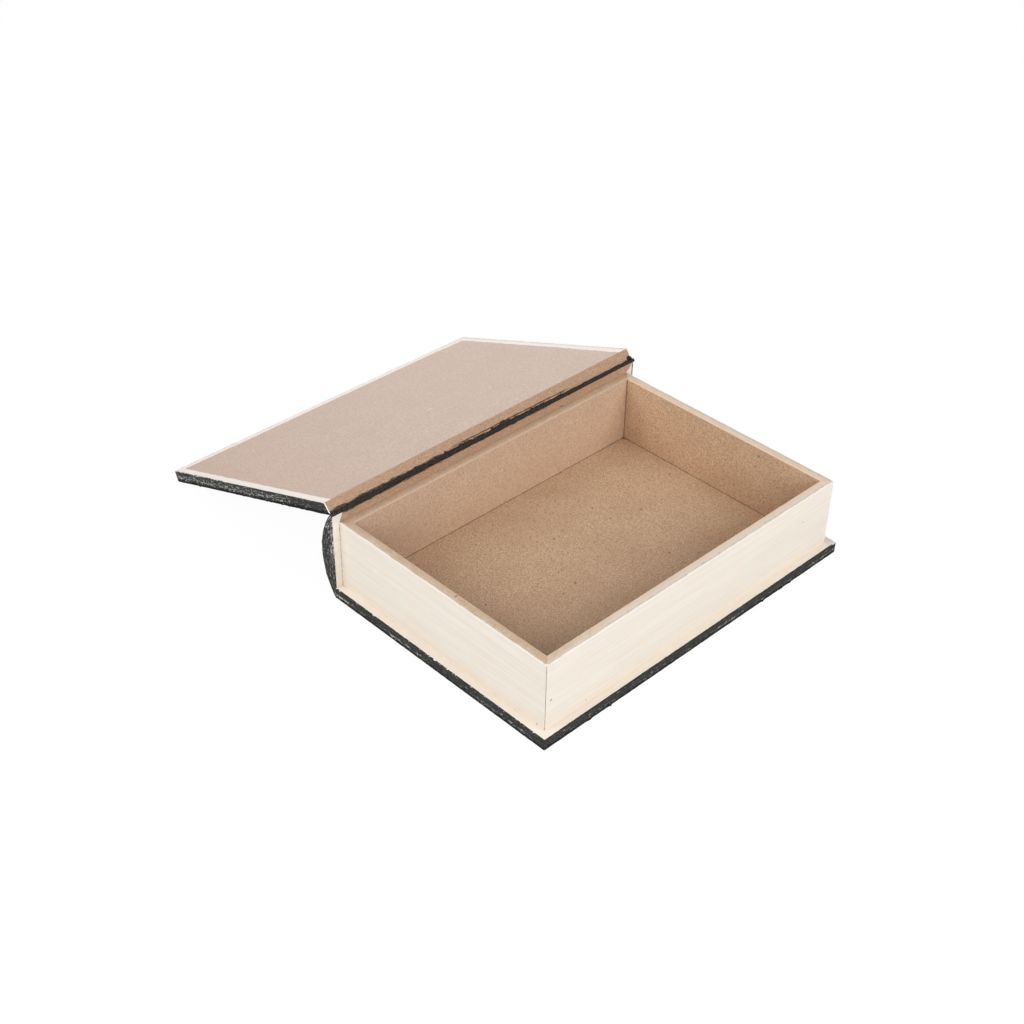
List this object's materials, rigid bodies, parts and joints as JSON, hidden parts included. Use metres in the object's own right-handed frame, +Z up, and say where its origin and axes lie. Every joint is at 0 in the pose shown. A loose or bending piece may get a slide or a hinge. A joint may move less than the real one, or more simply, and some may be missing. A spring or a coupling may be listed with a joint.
{
  "type": "book box",
  "caption": "Shallow keepsake box shaped like a bound book, with mitred board walls, a rounded spine and a cloth-hinged lid that folds back onto the table.",
  "frame": {"origin": "centre of the flat underside of the base, on the table", "axes": "+X from the spine to the fore edge, +Y along the spine from tail to head, +Z up; the lid lies open towards -X"},
  "size_m": [0.3474, 0.259, 0.0679],
  "materials": {
    "fibreboard": "bare medium-density fibreboard, smooth faces, fine speckle",
    "cream_paint": "fibreboard with brushed cream paint outside, streaked like page edges, bare inside",
    "leatherette": "dark grey coated cloth with a fine grain, scuffed pale along its edges",
    "hinge_cloth": "near-black glued cloth",
    "brad_steel": "plain steel wire"
  },
  "bodies": {
    "box": {"base_board": "fibreboard", "tail_wall": "cream_paint", "head_wall": "cream_paint", "fore_edge_wall": "cream_paint", "spine_wall": "fibreboard", "spine_board": "fibreboard", "base_cover": "leatherette", "spine_cover": "leatherette", "hinge_roll": "hinge_cloth", "corner_brads": "brad_steel", "base_brads": "brad_steel", "spine_brads": "brad_steel"},
    "lid": {"lid_board": "fibreboard", "lid_cover": "leatherette", "hinge_strip": "hinge_cloth"}
  },
  "joints": [
    {"name": "lid_hinge", "type": "hinge", "parent": "box", "child": "lid", "pos_m": [-0.089, 0, 0.0625], "axis": [0, 1, 0], "range_deg": [0, 200.43]}
  ]
}
